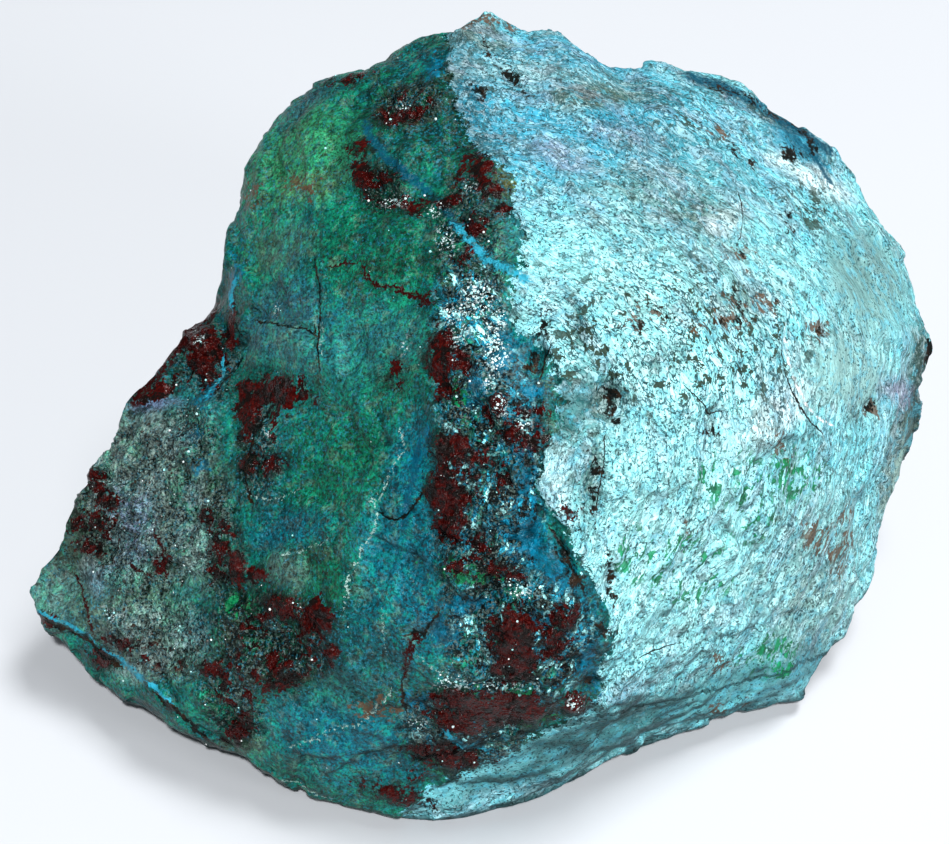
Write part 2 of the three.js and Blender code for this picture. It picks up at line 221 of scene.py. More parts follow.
DARK_PATCHES = [
    (2.5, 66.4, 0.35, 1.6, 38), (0.4, 69.2, 0.25, 1, 35), (-1.2, 63.4, 0.4, 1, 30),
    (6, 31.2, 0.3, 1.8, -12), (5.3, 28.2, 0.7, 1, -20), (14.8, 23.4, 0.6, 1.4, 10),
    (8.8, 6.6, 0.7, 1.8, 28), (9.2, 4.3, 0.5, 0.5), (14.4, 3.6, 0.15, 0.8, 10), (14.8, 1.8, 0.4, 0.6),
    (12.5, 16, 0.3, 1), (12.4, 11.8, 0.15, 1), (32, 56.6, 0.6, 0.8), (34.6, 55.2, 0.5, 0.5),
    (38.4, 46.6, 0.45, 1.3), (26, 20.8, 0.5, 0.25, 15), (41.5, 33.2, 0.4, 0.4), (49.8, 23.5, 0.8, 0.7),
    (13.6, -2.6, 0.9, 1), (12, -9.2, 0.5, 0.5), (17.6, 33.1, 0.5, 0.5), (60.5, 31.5, 0.8, 2.4, -20),
    (10.6, 3, 0.8, 1.4, 40), (40, 57, 1.3, 1, -20), (43.4, 58.1, 0.6, 0.8), (-29.6, 17, 0.8, 1.2),
    (13.6, 25.4, 0.9, 0.35), (31.6, 43, 0.5, 0.4, -20), (34.6, 36.4, 0.3, 0.3), (28.6, 33.6, 1, 0.2, 10),
    (20.4, 34.6, 0.8, 0.2, -20), (30.4, 36.4, 0.3, 0.6), (33, 65.6, 1.8, 0.3, -14),
    (37.4, 63.6, 1.8, 0.3, -26), (42, 60.8, 1, 0.4, -35),
]
# Closely set bright crystals that glint; where they lie the colour also takes chalk-white specks, a painted
# highlight.
SPARKLE_PATCHES = [
    (-5, 43.8, 0.9, 1.6, 25), (-1, 36.4, 1.9, 2.4), (-3.2, 34, 1.8, 1.8), (0.8, 33.6, 1.2, 1.6),
    (-3.4, 31.6, 1.7, 0.7, -42), (0.8, 29.6, 1.4, 2.6), (0.2, 26.6, 0.7, 0.9), (-10.2, 61.8, 0.8, 0.5, 10),
    (-2, 50.6, 0.8, 1), (-11.2, 49, 1.4, 1), (-6.4, 47.4, 1, 0.8), (3.9, 2.4, 1.2, 1.2, 20),
    (1.6, 24, 0.6, 1.2), (4.2, 21.6, 0.9, 1), (-27.4, 20.4, 0.4, 0.3), (-26.6, 36.2, 0.5, 0.4, -30),
    (-4.8, -9.2, 1.6, 0.8), (0.5, -9.8, 3.4, 0.4), (10.6, -12.2, 0.7, 0.6), (-48.4, -3, 1.6, 1, -30),
    (-37.6, 32, 0.7, 0.7), (-8.6, -15.6, 0.9, 0.7), (-10, 30.8, 0.6, 1),
]
DRUSE_AREAS = [(-45, 10, 10, 13, 22), (-42, -5, 9, 6, -10), (-35, 8, 4, 10), (-38, 20, 5, 5)]
RIDGE_AREAS = [
    (-2, 34, 5, 9, 5), (1, 14, 6.4, 18), (4, -4, 10, 9), (-2, 24, 5, 8), (-3, -16, 8, 5, -10),
]
SMOOTH_AREAS = [
    (4, -20.6, 24, 4.6, 17), (34, -12.6, 22, 4.4, 12), (50, 40, 8, 9, 35), (46, 28, 7, 5),
    (10.2, 23.4, 3, 5, -35), (58, 20, 3.4, 12), (41, 59, 6, 3, -25),
]

# Lines: half width, then the points.
CYAN_LINES = [
    (0.45, [(-3.6, 45.2), (-2, 43.2), (-0.4, 41.4), (1.4, 40.2), (4.4, 38.7)]),
    (0.22, [(-58.6, -3.2), (-55, -4.4), (-52, -5.6), (-50, -7.8), (-47.5, -8.9)]),
    (0.4, [(-47.2, -9), (-44.2, -11.2)]), (0.26, [(-43, -11.8), (-40.5, -13.6)]),
    (0.3, [(-32.6, 39.8), (-33.4, 38.2), (-33.2, 36.8)]), (0.3, [(-5, -16.4), (-3, -18), (-0.5, -18.5)]),
    (0.18, [(-34.2, 29.6), (-34.2, 27.6), (-36, 25.2)]),
]
BLUE_LINES = [
    (0.55, [(-15.5, 59.6), (-14.6, 57.4), (-13, 55.2), (-11, 53.2), (-9, 51.4), (-7.4, 50), (-5.4, 48),
            (-3.6, 45.2)]),
    (0.4, [(-10, 10), (-9.4, 13), (-8.6, 16), (-8.2, 19)]),
    (0.9, [(27, 67.6), (31, 66.6), (36, 64.4), (42, 61.2), (46, 58.2)]),
    (0.4, [(40, 60), (43.6, 57), (46, 53.6)]),
]
# A painted highlight along a ridge of the crust.
RIDGE_HIGHLIGHT_LINES = [
    (0.15, [(36.4, 33.4), (36.3, 31.6), (36.9, 29), (37.8, 26.4), (39.3, 24), (40.8, 22.4), (43, 21.3)]),
]
# Pale lines: mostly a painted highlight along the edges of steps and facets, partly pale scratches and rims.
PALE_AND_HIGHLIGHT_LINES = [
    (0.16, [(-24.4, -18.6), (-21, -17.3), (-19, -16), (-15.6, -15), (-13.2, -12.6), (-12, -11)]),
    (0.16, [(-13.5, 12.4), (-13.2, 9.6), (-15, 6), (-16.5, 3), (-17, 0)]),
    (0.14, [(-10.6, 17), (-12, 14), (-13.4, 11.6)]),
    (0.16, [(-33, -21.2), (-29, -23), (-24, -24.2), (-20, -26)]), (0.12, [(-12.6, -1.4), (-12.3, -5.2)]),
    (0.14, [(-20.4, 33.2), (-20.4, 30.8)]), (0.1, [(-25.2, 5.6), (-22, 6.2), (-19.6, 7.6)]),
    (0.12, [(-10.4, 20.8), (-9.6, 18.2), (-10.6, 17)]), (0.1, [(-29, 12.6), (-26, 12), (-24, 13)]),
    (0.12, [(-7.6, -6.6), (-6.4, -7.6), (-4.6, -8)]),
]
RUST_LINES = [
    (0.3, [(-15, 40.2), (-14, 38.6), (-12, 38.2), (-10, 37.6), (-8.6, 36.7), (-7, 36.2)]),
    (0.36, [(-8.5, -4), (-9.5, -6), (-10, -8.4)]),
    (0.15, [(-54, 1.6), (-52.6, -0.4), (-51.6, -3), (-51, -5.2)]), (0.3, [(-42, 7), (-41, 5), (-41, 2.6)]),
    (0.25, [(-45.4, 3.2), (-43.4, 2.2)]), (0.2, [(-19, 41.2), (-16.6, 41.2)]),
    (0.8, [(-36.4, 36.6), (-39, 33.6), (-41.4, 30.6), (-44, 27.4), (-46, 24.6)]),
]
# Dark lines: cracks, and painted shadow below the step edges along (-29, 34.6) to (-21.4, 32.4), (18.6, -6.9)
# to (23, -5.6) and (35.8, 30.4) to (41.6, 20.4), beside the painted ridge highlight.
CRACKS_AND_STEP_SHADOWS = [
    (0.1, [(-21.6, 42), (-20.9, 38), (-20.8, 33.6), (-21, 31), (-20.6, 28)]),
    (0.18, [(-12.6, 10.6), (-11, 10.2), (-9.6, 10.6), (-8.5, 12), (-7.6, 13.6)]),
    (0.16, [(-29, 34.6), (-26, 34), (-23.6, 33.6), (-21.4, 32.4)]), (0.2, [(-10.2, -9.8), (-10, -13)]),
    (0.3, [(-58.4, -3.9), (-55, -5.2), (-52.4, -6.5), (-50.6, -8.6), (-47.6, -9.8)]),
    (0.14, [(35.8, 30.4), (36.2, 28), (37.1, 25.6), (38.5, 23.4), (40.1, 21.6), (41.6, 20.4)]),
    (0.08, [(23, 26), (25, 24.2), (26.2, 22.6), (28, 23)]), (0.07, [(31.6, 50.4), (32, 47), (31.4, 44.6)]),
    (0.09, [(7.4, 30.6), (6.6, 28.4), (6, 26.4)]), (0.2, [(7.4, 9), (9.4, 5.4), (11, 2.2)]),
    (0.07, [(18.6, -6.9), (20, -6.3), (23, -5.6)]), (0.16, [(-31.6, 30), (-32.6, 28), (-35, 25.6)]),
    (0.25, [(-34.6, -19.6), (-38, -16.6), (-42, -13)]),
    (0.2, [(-26.4, 24), (-29, 20.4), (-30.4, 15.6), (-29.4, 12)]),
    (0.22, [(-6.2, -1.2), (-7.6, -3.4), (-9.6, -3.6)]), (0.07, [(13.6, 20), (13.2, 15.6), (12.6, 11.4)]),
]
# Where the crust stands in loose flakes with dark gaps, and where the broken face is coarse and dark.
FLAKY_AREAS = [
    (24, 32, 20, 11), (12, 28, 8, 9), (42, 49, 7, 5, -30), (26, 60, 8, 4, -15), (3, 66, 5, 5),
]
COARSE_AREAS = [
    (-28.6, 18, 3.4, 8), (-27, -5, 9, 7, -10), (-33.6, 6, 4, 9), (-37, 30, 5, 8, 30), (-10, 62, 6, 4, 10),
    (-13, 51, 4, 4, -40), (-32, -14, 5, 7, 30), (-41, -8, 9, 4, -10), (-2, 42, 5, 12, 8), (-1, 12, 6, 26),
    (3, -4, 9, 9), (-3, -16, 9, 7, -10),
]

# The marks by the name of their stored value. The other sides carry them at random: size, seed, threshold.
PATCHES = {
    "blood": (BLOOD_PATCHES, 9, 31, 0.34), "blood_speckle": (BLOOD_SPECKLES, 12, 39, 0.1),
    "blue": (BLUE_PATCHES, 8, 41, 0.42), "green": (GREEN_PATCHES, 7, 43, 0.42),
    "green_speckle": (GREEN_SPECKLES, 12, 45, 0.2), "tan": (TAN_PATCHES, 7, 47, 0.5),
    "dark": (DARK_PATCHES, 6, 49, 0.6),
}
LINES = {
    "cyan": CYAN_LINES, "vein_blue": BLUE_LINES, "white": RIDGE_HIGHLIGHT_LINES, "pale": PALE_AND_HIGHLIGHT_LINES, "rust": RUST_LINES,
    "crack_and_step_shadow": CRACKS_AND_STEP_SHADOWS,
}

# ---------- relief on the show side: height or depth in millimetres ----------

# Steps: height, reach behind the edge, then the points of the edge. The raised side is on the left.
STEPS = [
    (0.9, 7, [(-21.4, 32.4), (-23.6, 33.6), (-26, 34.2), (-28.6, 34.8)]),
    (0.8, 5, [(24, -5.2), (20, -6.4), (17.6, -7.4), (16, -9), (14.4, -11.4)]),
    (0.6, 6, [(-12, -11), (-15.6, -15), (-19, -16), (-24.4, -18.6)]),
    (0.7, 6, [(41, 20.8), (38.6, 23.8), (37, 26.6), (35.8, 30.4), (36, 33)]),
    (0.5, 5, [(-17, 0), (-16.5, 3), (-15, 6), (-13.2, 9.6), (-13.5, 12.4)]),
    (0.5, 4, [(-19, 7.8), (-22, 6.2), (-25.4, 5.4)]),
    (0.7, 4, [(4.4, 38.6), (2, 39.8), (0, 41), (-2, 43.4), (-3.8, 45.6)]),
    (0.6, 5, [(45, 59), (40, 60.4), (34, 62.6), (28, 64.6)]),
    (0.6, 5, [(9, 60), (13, 58.4), (16.4, 55.6), (19, 52)]), (0.5, 5, [(6, 56), (9, 52), (10.4, 47)]),
    (0.6, 5, [(23, 59.6), (27, 56.4), (28.6, 53)]),
    (0.5, 5, [(44, 38.4), (47.6, 35.8), (51, 33), (54, 31.4)]), (0.5, 4, [(33.6, 45), (36, 40), (37, 35)]),
    (0.5, 5, [(20.6, 21), (20, 12), (20.6, 4), (21.6, -2)]), (0.5, 4, [(45, 47.4), (48, 44), (51, 40)]),
    (0.5, 5, [(30, 12), (33, 8), (34, 2)]), (0.4, 4, [(15.4, 20), (15.8, 14), (15, 9)]),
]
# Hollows and raised spots: height (less than 0 for a hollow), then an ellipse as above.
LUMPS = [
    (-2.4, (14.2, 24, 2.6, 3, 20)), (-1.4, (10.2, 22.6, 3, 3.2, 40)), (-1.3, (5.7, 29.4, 1.1, 3.4, -14)),
    (-1.2, (10, 32.4, 1.3, 3.6, 22)), (-0.9, (8.9, 6.2, 1, 2.6, 30)), (-1, (14.6, 3, 1.3, 2.2)),
    (-0.8, (12.4, 14, 1.4, 4.2)), (-0.7, (41.4, 33.2, 1.8, 1.4)), (-0.8, (49.8, 23.6, 1.5, 1.3)),
    (0.8, (45, 28, 8, 6)), (-0.6, (27.5, 22, 3, 2, -30)), (1, (10.5, -12.6, 1.9, 1.8)),
    (-0.9, (2.6, 66.4, 1, 2.6, 38)), (0.8, (-1.3, 45.4, 1.5, 1.6)), (0.9, (-36.9, 30.6, 3, 4.6, 20)),
    (-1.2, (-33.6, 28.4, 1.4, 5, -28)), (0.5, (-5.4, 29.4, 2.2, 3.4)), (0.6, (-9, -22.6, 1.3, 1.1)),
    (0.7, (1, 23.6, 1.4, 1.8)), (-0.7, (3, -10, 5, 0.9)), (0.9, (-51, 2.6, 3.2, 2.6, -20)),
    (-0.6, (30.8, 43.4, 2, 1.2, -20)), (0.5, (30, 46.8, 2.4, 1.8)), (-0.8, (26, 54.4, 2, 7, 28)),
    (-0.9, (-10, 61, 4, 2, 8)), (-0.7, (-12.6, 50.6, 5, 1.6, -38)), (0.8, (3, -5, 4, 4.4)),
    (-0.8, (9, 14.4, 2, 5, 8)), (-0.6, (37.5, -8, 3, 2.2)), (0.6, (33.6, 20.6, 4.4, 2.2, 30)),
]

# ---------- values over the surface ----------

def cell_random(cells, seed):
    """A fixed random value from -1 to 1 for each whole-numbered cell."""
    x, y, z = cells.T
    mixed = (x * 73856093) ^ (y * 19349663) ^ (z * 83492791) ^ (seed * 40503)
    mixed = ((mixed ^ (mixed >> 13)) * 1274126177) & 0xFFFFFFFF
    mixed = ((mixed ^ (mixed >> 15)) * 2246822519) & 0xFFFFFFFF
    return ((mixed ^ (mixed >> 16)) & 0xFFFF) / 32767.5 - 1


def smooth_noise(points, size, seed):
    """Random values from -1 to 1 that change smoothly over about `size` millimetres."""
    cells = points / size
    corner = np.floor(cells).astype(np.int64)
    inside = cells - corner
    inside = inside * inside * (3 - 2 * inside)
    total = np.zeros(len(points))
    for step in np.ndindex(2, 2, 2):
        total += cell_random(corner + step, seed) * np.prod(np.where(step, inside, 1 - inside), axis=1)
    return total


def rough_noise(points, size, seed, layers=3):
    """Smooth noise with finer layers added, each half as strong as the last."""
    total = sum(smooth_noise(points, size / 2 ** k, seed + 7 * k) / 2 ** k for k in range(layers))
    return total / (2 - 2 ** (1 - layers))


def facets(points, size, seed):
    """Height of flat chips about `size` millimetres wide, each tilted its own way, from about -1 to 1."""
    cells = points / size
    corner = np.floor(cells).astype(np.int64)
    nearest = np.full(len(points), np.inf)
    height = np.zeros(len(points))
    for step in np.ndindex(3, 3, 3):
        cell = corner + step - 1
        centre = cell + 0.5 + 0.42 * np.stack([cell_random(cell, seed + k) for k in range(3)], axis=1)
        slope = np.stack([cell_random(cell, seed + 3 + k) for k in range(3)], axis=1)
        offset = cells - centre
        distance = np.sum(offset * offset, axis=1)
        nearer = distance < nearest
        nearest[nearer] = distance[nearer]
        height[nearer] = np.sum(offset * slope, axis=1)[nearer]
    return height


def ramp(value, low, high):
    """0 at low, 1 at high, smooth between. low may be the greater of the two."""
    share = np.clip((value - low) / (high - low), 0, 1)
    return share * share * (3 - 2 * share)


def depth_in_ellipse(spots, right, up, half_width, half_height, turn=0):
    """Millimetres inside an ellipse on the show side; less than 0 outside it."""
    angle = math.radians(turn)
    x, y = spots[:, 0] - right, spots[:, 1] - up
    across = x * math.cos(angle) + y * math.sin(angle)
    along = y * math.cos(angle) - x * math.sin(angle)
    reach = np.hypot(across / half_width, along / half_height)
    return (1 - reach) * min(half_width, half_height)


def patch_field(spots, ellipses):
    """Millimetres inside the nearest of several ellipses; less than 0 outside them all."""
    return np.max([depth_in_ellipse(spots, *ellipse) for ellipse in ellipses], axis=0)


def area_share(spots, ellipses, border=2):
    """0 outside the ellipses, rising to 1 over a border of so many millimetres inside them."""
    return np.clip(patch_field(spots, ellipses) / border, 0, 1)


def line_distance(spots, line):
    """Distance to a line of points, and the side: 1 on its left, -1 on its right."""
    best = np.full(len(spots), np.inf)
    side = np.ones(len(spots))
    for start, end in zip(line, line[1:]):
        start, run = np.array(start), np.subtract(end, start)
        offset = spots - start
        share = np.clip(offset @ run / (run @ run), 0, 1)
        distance = np.linalg.norm(offset - share[:, None] * run, axis=1)
        nearer = distance < best
        best[nearer] = distance[nearer]
        side[nearer] = np.sign(run[0] * offset[nearer, 1] - run[1] * offset[nearer, 0])
    return best, side


def line_field(spots, lines):
    """Millimetres inside the nearest of several lines; less than 0 outside them all."""
    return np.max([half_width - line_distance(spots, line)[0] for half_width, line in lines], axis=0)


def line_offset(spots, lines):
    """Offset to either side of the nearest line, in its half widths, and 1 close to it, 0 away from it."""
    most = 20
    best = np.full(len(spots), np.inf)
    offset = np.full(len(spots), float(most))
    for half_width, line in lines:
        distance, side = line_distance(spots, line)
        nearer = distance < best
        best[nearer] = distance[nearer]
        offset[nearer] = np.clip(side * distance / half_width, -most, most)[nearer]
    return offset, ramp(best, 1.3, 0.8)


def paint_tones(spots, ground, tones):
    """Soft areas of colour laid over a ground colour, in linear RGB."""
    paint = np.tile(linear(ground)[:3], (len(spots), 1))
    for *ellipse, colour, strength in tones:
        softness = min(ellipse[2:4]) * 0.45 + 0.3
        cover = (strength * ramp(depth_in_ellipse(spots, *ellipse), -softness, softness))[:, None]
        paint = paint * (1 - cover) + cover * linear(colour)[:3]
    return paint


def shown_share(normals):
    """1 on the show side, 0 on the back and the underside."""
    return ramp(normals @ OUTWARD, -0.30, -0.08)


def show_spots(points, wobble):
    """Each point's place on the show side, shifted a little so that no outline is a clean curve."""
    spots = np.stack([points @ ACROSS, points @ UPWARD], axis=1)
    for axis in (0, 1):
        spots[:, axis] += wobble * rough_noise(points, 3.5, 11 + axis)
    return spots


def crust_field(spots):
    """Millimetres to the border of the pale crust, more than 0 on the crust."""
    distance, side = line_distance(spots, CRUST_BORDER)
    return side * distance


def rough_share(spots):
    """Where the broken face is coarse: 1 on the druse and the coarse areas, 0 elsewhere."""
    return area_share(spots, DRUSE_AREAS + COARSE_AREAS) * ramp(crust_field(spots), 1.6, -0.4)


# The fibres of the crust turn as they run down the dome: how far up, then their turn in degrees.
FIBRE_TURNS = [(-20, -100), (2, -97), (16, -84), (32, -62), (48, -42), (80, -34)]
FIBRE_PIVOT = (26, 28)
FIBRE_LENGTH = 2.3  # times their width
LIP_TURN = 17  # degrees: under the dome's lower edge they run along it
LIP_EDGE = [(-16, -22.5), (0, -17.6), (14, -14.4), (30, -12.4), (46, -9)]


def flow_places(points, spots):
    """Coordinates that follow the fibres: along them (drawn out), across them, and outwards."""
    waver = np.stack([2.4 * rough_noise(points, 12, seed) for seed in (51, 53)], axis=1)
    offset = spots + waver - FIBRE_PIVOT
    angle = np.radians(np.interp(spots[:, 1], *zip(*FIBRE_TURNS)))
    on_lip = spots[:, 1] < np.interp(spots[:, 0], *zip(*LIP_EDGE))
    angle[on_lip] = math.radians(LIP_TURN)
    along = offset[:, 0] * np.cos(angle) + offset[:, 1] * np.sin(angle)
    across = offset[:, 1] * np.cos(angle) - offset[:, 0] * np.sin(angle)
    return np.stack([along / FIBRE_LENGTH, across, points @ OUTWARD], axis=1)


# ---------- the skin of the stone ----------

def add_object(name, data):
    made = bpy.data.objects.new(name, data)
    bpy.context.scene.collection.objects.link(made)
    return made


def inside_box(points, clearance=0.0):
    """The points kept inside the solid's box, and so many millimetres clear of the floor."""
    low, high = (np.array(corner) / MM for corner in cad_box)
    return np.clip(points, low + (0, 0, clearance), high)


def fine_skin():
    """A copy of the solid's mesh, its facets cut fine enough to take the relief."""
    mesh = bpy.data.meshes.new("chrysocolla_skin")
    work = bmesh.new()
    work.from_mesh(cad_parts[NODE].data)
    bmesh.ops.remove_doubles(work, verts=work.verts, dist=0.001 * MM)
    bmesh.ops.subdivide_edges(work, edges=work.edges, cuts=FINE_CUTS, use_grid_fill=True)
    bmesh.ops.triangulate(work, faces=work.faces)
    work.to_mesh(mesh)
    work.free()
    mesh.materials.clear()
    return mesh


def points_of(mesh):
    flat = np.empty(3 * len(mesh.vertices))
    mesh.vertices.foreach_get("co", flat)
    return flat.reshape(-1, 3) / MM


def normals_of(mesh):
    flat = np.empty(3 * len(mesh.vertices))
    mesh.vertex_normals.foreach_get("vector", flat)
    return flat.reshape(-1, 3)


def set_points(mesh, points):
    mesh.vertices.foreach_set("co", (points * MM).ravel())
    mesh.update()


def relax(mesh, passes, strength):
    """Each pass moves a point towards the middle of its neighbours. The flat rest stays put."""
    edges = np.empty(2 * len(mesh.edges), dtype=np.int64)
    mesh.edges.foreach_get("vertices", edges)
    one, other = edges.reshape(-1, 2).T
    points = points_of(mesh)
    size = len(points)
    count = np.bincount(edges, minlength=size)[:, None]
    free = ramp(points[:, 2], 0.05, 1.0)[:, None] * strength
    for _ in range(passes):
        middle = np.stack([
            np.bincount(one, points[other, axis], size) + np.bincount(other, points[one, axis], size)
            for axis in range(3)
        ], axis=1) / count
        points += (middle - points) * free
    set_points(mesh, points)


def relief(points, normals):
    """How far each point moves outwards, in millimetres."""
    spots = show_spots(points, 0.3)
    shown = shown_share(normals)
    facing = ramp(normals @ OUTWARD, 0.15, 0.5)
    crust = ramp(crust_field(spots), -0.6, 0.6) * shown
    rough = rough_share(spots) * shown
    height = 0.5 * rough_noise(points, 9, 3) + 0.9 * facets(points, 7, 61) * (1 - 0.2 * crust)
    height += 1.1 * facing * (1 - crust) * facets(points, 13, 97)
    height += (0.3 + 0.5 * rough - 0.2 * crust) * facets(points, 3, 67)
    height += (0.14 + 0.3 * rough) * facets(points, 1.5, 73)
    drawn = flow_places(points, spots)
    flakes = 0.6 * facets(drawn, 3.4, 79) + 0.4 * facets(drawn, 1.7, 83) + 0.2 * rough_noise(drawn, 2.4, 21)
    height += crust * (1 - 0.6 * area_share(spots, SMOOTH_AREAS)) * flakes
    for rise, reach, line in STEPS:
        distance, side = line_distance(spots, line)
        edge = ramp(side * distance, -0.35, 0.35) * ramp(-distance, -reach, 0)
        height += shown * rise * edge
    for rise, ellipse in LUMPS:
        height += shown * rise * ramp(depth_in_ellipse(spots, *ellipse) / min(ellipse[2:4]), -0.15, 0.75)
    height -= shown * 0.45 * ramp(line_field(spots, CRACKS_AND_STEP_SHADOWS), -0.5, 0.2)
    height += shown * 0.4 * ramp(line_field(spots, CYAN_LINES), -0.4, 0.3)
    height += shown * 0.3 * ramp(patch_field(spots, BLOOD_PATCHES), -0.3, 0.5)
    return height * ramp(points[:, 2], 0.1, 2.5)


def on_side(shown, front, back):
    """One value on the show side, another on the back and the underside."""
    return shown * front + (1 - shown) * back


def tone_values(points, shown):
    """The soft colours of the broken faces and of the crust."""
    spots = show_spots(points, 1.6)
    drab_share = 0.8 * ramp(rough_noise(points, 15, 35), -0.1, 0.45)[:, None]
    tones = {}
    for name, ground, areas, drab in (
        ("broken_tone", "sea green", BROKEN_TONES, "olive"),
        ("crust_tone", "pale turquoise", CRUST_TONES, "grey teal"),
    ):
        back = (1 - drab_share) * linear(ground)[:3] + drab_share * linear(drab)[:3]
        tones[name] = on_side(shown[:, None], paint_tones(spots, ground, areas), back)
    return tones


def shadow_values(points, normals):
    """Painted shade: 1 on the underside and on a dark rim just above the floor, which is wider on the right.
    """
    rim = points[:, 2] + 1.2 * rough_noise(points, 4, 57) - 2 * ramp(points[:, 0], -5, 15)
    return np.maximum(ramp(-normals[:, 2], -0.05, 0.35), ramp(rim, 2.8, 1.2))


def surface_values(points, normals):
    """Every value that the materials read, by attribute name."""
    shown = shown_share(normals)
    spots = show_spots(points, 0.55)
    back_crust = (points[:, 0] + 6) * 0.5 + 9 * rough_noise(points, 22, 33)
    crust = on_side(shown, crust_field(show_spots(points, 1.3)), back_crust)
    broken = ramp(crust, 0.5, -0.5)
    rough = on_side(shown, rough_share(spots), ramp(rough_noise(points, 14, 31), -0.1, 0.4))
    druse = on_side(shown, area_share(spots, DRUSE_AREAS, 3), 0.3 * rough)
    clear = ramp(points[:, 2], 1.5, 2.5)  # no crystal grows on the flat rest or just above it
    sparkle = patch_field(spots, SPARKLE_PATCHES)
    close_glints = shown * ramp(sparkle + 1.4 * rough_noise(points, 1.6, 65), -0.2, 1.2)
    loose_glints = 0.05 * druse * ramp(rough_noise(points, 3.4, 69), 0.1, 0.5)
    rough_glints = broken * (0.002 + 0.03 * rough * ramp(rough_noise(points, 2.4, 67), 0, 0.5))
    values = {
        **tone_values(points, shown), "crust": crust, "rough": rough, "druse": druse,
        "flaky": on_side(shown, area_share(spots, FLAKY_AREAS, 4), 0.5),
        # painted shade: near black on the underside and the lowest rim
        "under": shadow_values(points, normals),
        "ridge": shown * area_share(spots, RIDGE_AREAS) * ramp(crust, 1.0, -0.4),
        "smooth": shown * area_share(spots, SMOOTH_AREAS),
        # sparkle: where chalk-white specks are painted as highlights
        "sparkle": shown * ramp(sparkle + 0.9 * rough_noise(points, 2.2, 63), -0.5, 0.5),
        "mottle": 0.5 + 0.27 * np.stack([rough_noise(points, 6, seed, 4) for seed in (91, 93, 95)], axis=1),
        "flow_place": flow_places(points, spots),
        "druse_share": clear * druse * 0.8 * broken,
        "glint_share": clear * (close_glints + loose_glints + rough_glints),
    }
    for name, (ellipses, size, seed, threshold) in PATCHES.items():
        back = (rough_noise(points, size, seed) - threshold) * 8
        values[name] = on_side(shown, patch_field(spots, ellipses), back)
    for name, lines in LINES.items():
        values[name + "_offset"], near = line_offset(show_spots(points, 0.3), lines)
        values[name + "_near"] = near * shown
    return values


def store_values(mesh, values):
    """Stores each value on the points: a number, three numbers, or a colour if its name ends in tone."""
    for name, value in values.items():
        kind, field = ("FLOAT", "value") if value.ndim == 1 else ("FLOAT_VECTOR", "vector")
        if name.endswith("tone"):
            kind, field = "FLOAT_COLOR", "color"
            value = np.column_stack([value, np.ones(len(value))])
        made = mesh.attributes.new(name, kind, "POINT")
        made.data.foreach_set(field, value.ravel().astype(np.float32))


def make_skin():
    mesh = fine_skin()
    relax(mesh, 10, 0.5)
    points, normals = points_of(mesh), normals_of(mesh)
    set_points(mesh, inside_box(points + relief(points, normals)[:, None] * normals))
    relax(mesh, 1, 0.35)
    store_values(mesh, surface_values(points_of(mesh), normals_of(mesh)))
    mesh.shade_smooth()
    return add_object("chrysocolla_skin", mesh)


# ---------- materials ----------

class Graph:
    """A node tree, filled one node at a time. An input is a socket to link or a value to set."""

    def __init__(self, tree):
        self.tree = tree

    def node(self, kind, inputs=None, **settings):
        made = self.tree.nodes.new(kind)
        for name, value in settings.items():
            setattr(made, name, value)
        for name, value in (inputs or {}).items():
            if isinstance(value, bpy.types.NodeSocket):
                self.tree.links.new(value, made.inputs[name])
            else:
                made.inputs[name].default_value = value
        return made

    def attribute(self, name, output="Fac"):
        """A value stored on the mesh, as Fac (one number), Color or Vector."""
        return self.node("ShaderNodeAttribute", attribute_name=name).outputs[output]

    def math(self, operation, *terms):
        return self.node("ShaderNodeMath", dict(enumerate(terms)), operation=operation).outputs[0]

    def vector_math(self, operation, *terms):
        return self.node("ShaderNodeVectorMath", dict(enumerate(terms)), operation=operation).outputs

    def sum(self, one, other, scale=1.0):
        """one times scale, plus other."""
        return self.math("MULTIPLY_ADD", one, scale, other)

    def times(self, one, other):
        return self.math("MULTIPLY", one, other)

    def most(self, one, other):
        return self.math("MAXIMUM", one, other)

    def ramp(self, value, low, high, bottom=0.0, top=1.0):
        """bottom at low, top at high, smooth between. low may be the greater of the two."""
        inputs = {"Value": value, "From Min": low, "From Max": high, "To Min": bottom, "To Max": top}
        return self.node("ShaderNodeMapRange", inputs, interpolation_type="SMOOTHSTEP").outputs["Result"]

    def parts(self, colour):
        """The three values of a colour."""
        return self.node("ShaderNodeSeparateColor", {"Color": colour}).outputs

    def noise(self, place, scale, detail, roughness, output="Color"):
        inputs = {"Vector": place, "Scale": scale, "Detail": detail, "Roughness": roughness}
        return self.node("ShaderNodeTexNoise", inputs).outputs[output]

    def scaled(self, colour, factor):
        return self.node("ShaderNodeVectorMath", {0: colour, "Scale": factor}, operation="SCALE").outputs[0]

    def blend(self, share, under, over):
        """Lays one colour over another. A colour is a socket or a name."""
        under, over = (linear(tone) if isinstance(tone, str) else tone for tone in (under, over))
        made = self.node("ShaderNodeMix", data_type="RGBA")
        for index, value in ((0, share), (6, under), (7, over)):
            if isinstance(value, bpy.types.NodeSocket):
                self.tree.links.new(value, made.inputs[index])
            else:
                made.inputs[index].default_value = value
        return made.outputs[2]

    def lay(self, under, over, value, low, high, bottom=0.0, top=1.0, where=None):
        """Lays one colour over another where a value passes from low to high, and only as far as where."""
        share = self.ramp(value, low, high, bottom, top)
        return self.blend(share if where is None else self.times(where, share), under, over)

    def shade(self, colour, value, low, high, darkest, lightest):
        """Darkens a colour where a value is low and lightens it where the value is high."""
        return self.scaled(colour, self.ramp(value, low, high, darkest, lightest))


def new_material(name):
    material = bpy.data.materials.new(name)
    material.use_nodes = True
    material.node_tree.nodes.clear()
    return material, Graph(material.node_tree)


def finish_material(graph, inputs):
    """A Principled shader with these inputs, as the material's surface."""
    shader = graph.node("ShaderNodeBsdfPrincipled", inputs)
    graph.node("ShaderNodeOutputMaterial", {"Surface": shader.outputs["BSDF"]})


